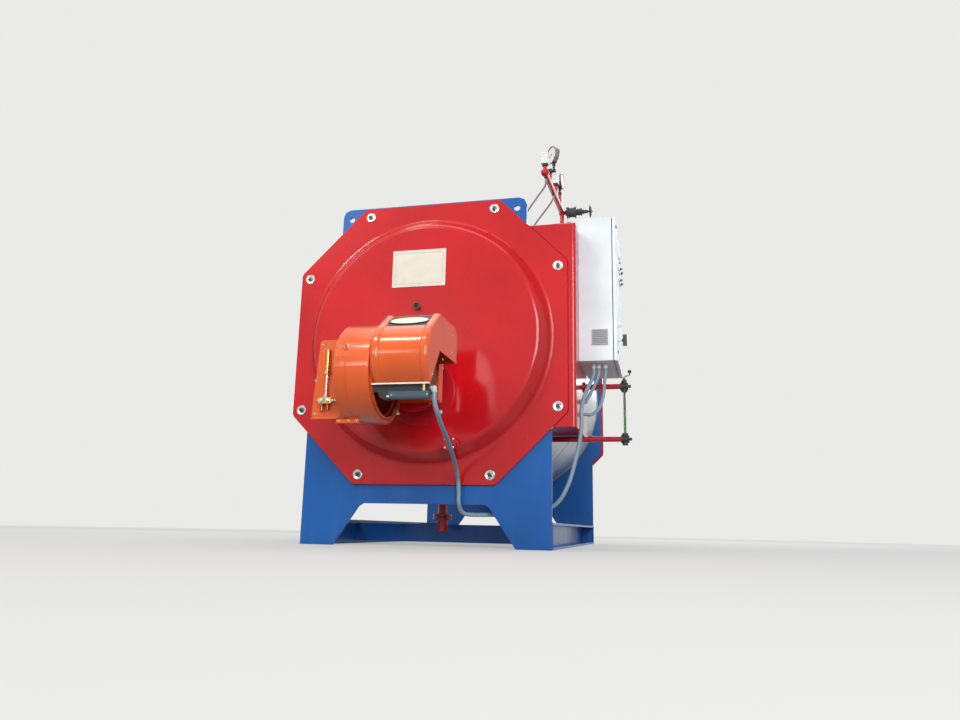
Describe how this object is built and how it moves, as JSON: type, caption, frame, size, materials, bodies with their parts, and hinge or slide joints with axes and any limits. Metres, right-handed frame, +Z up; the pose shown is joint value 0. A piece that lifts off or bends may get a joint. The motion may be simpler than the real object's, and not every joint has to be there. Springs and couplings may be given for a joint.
{
  "type": "industrial boiler",
  "caption": "Horizontal fire-tube steam boiler on frame plates, with dished eight-sided door, monobloc burner, control cabinet, manifold and level gauge.",
  "frame": {"origin": "bottom centre of the bounding box, on the floor under the boiler", "axes": "+X to the right seen from the front door, +Y from the front door to the flue end, +Z up"},
  "size_m": [2.162, 3.938, 2.614],
  "materials": {
    "frame_blue": "gloss industrial enamel",
    "boiler_red": "gloss industrial enamel",
    "bright_zinc": "bright zinc plating",
    "plate_white": "blank enamelled plate",
    "shell_steel": "mill finish",
    "jacket_sheet": "smooth sheet",
    "flue_grey": "heat resistant paint",
    "pipe_red": "gloss enamel on pipe",
    "cock_black": "black",
    "switch_white": "moulded",
    "gauge_brass": "dull",
    "tube_steel": "drawn tube",
    "valve_grey": "painted casting",
    "wheel_dark": "dark enamel",
    "cabinet_grey": "fine powder coat",
    "control_black": "moulded",
    "grille_grey": "moulded louvre",
    "gland_grey": "moulded nut",
    "conduit_grey": "corrugated conduit",
    "gear_grey": "plate and devices",
    "sight_glass": "clear tube",
    "burner_orange": "gloss enamel",
    "fan_orange": "enamel",
    "motor_dark": "painted casting",
    "trim_light": "edge trim",
    "tray_black": "moulded",
    "box_bluegrey": "powder coat",
    "oil_brass": "machined"
  },
  "bodies": {
    "boiler": {"front_frame": "frame_blue", "rear_frame": "frame_blue", "skid_rails": "frame_blue", "front_door": "boiler_red", "rear_cover": "boiler_red", "door_bolts": "bright_zinc", "blank_plates": "plate_white", "door_fittings": "pipe_red", "shell_drum": "shell_steel", "tube_plates": "shell_steel", "jacket": "jacket_sheet", "jacket_bands": "jacket_sheet", "flue_outlet": "flue_grey", "rear_hatch": "boiler_red", "side_housing": "boiler_red", "steam_outlet": "pipe_red", "drain_valve": "pipe_red", "manifold": "pipe_red", "gauge_cocks": "cock_black", "pressure_switches": "switch_white", "pressure_gauges": "gauge_brass", "instrument_tubes": "tube_steel", "stop_valve": "valve_grey", "cabinet_body": "cabinet_grey", "cabinet_grille": "grille_grey", "cabinet_glands": "gland_grey", "cabinet_conduits": "conduit_grey", "cabinet_gear": "gear_grey", "level_pipes": "pipe_red", "level_cocks": "cock_black", "level_glass": "sight_glass", "burner_plate": "pipe_red", "burner_head": "burner_orange", "burner_scroll": "burner_orange", "burner_motor": "motor_dark", "burner_hood": "burner_orange", "hood_trim": "trim_light", "burner_tray": "tray_black", "terminal_box": "box_bluegrey", "oil_line": "oil_brass", "burner_conduit": "conduit_grey"},
    "cabinet_door": {"cabinet_door": "cabinet_grey", "door_controls": "control_black"},
    "fan": {"fan_wheel": "fan_orange"},
    "handwheel": {"valve_handwheel": "wheel_dark"}
  },
  "joints": [
    {"name": "cabinet_door_hinge", "type": "hinge", "parent": "boiler", "child": "cabinet_door", "pos_m": [1.001, -0.269, 1.639], "axis": [0, 0, 1], "range_deg": [0, 110]},
    {"name": "fan_spin", "type": "hinge", "parent": "boiler", "child": "fan", "pos_m": [-0.181, -1.673, 0.94], "axis": [1, 0, 0], "continuous": true},
    {"name": "handwheel_turn", "type": "hinge", "parent": "boiler", "child": "handwheel", "pos_m": [0.807, -0.46143, 2.345], "axis": [1, 0, 0], "range_deg": [0, 1080]}
  ]
}
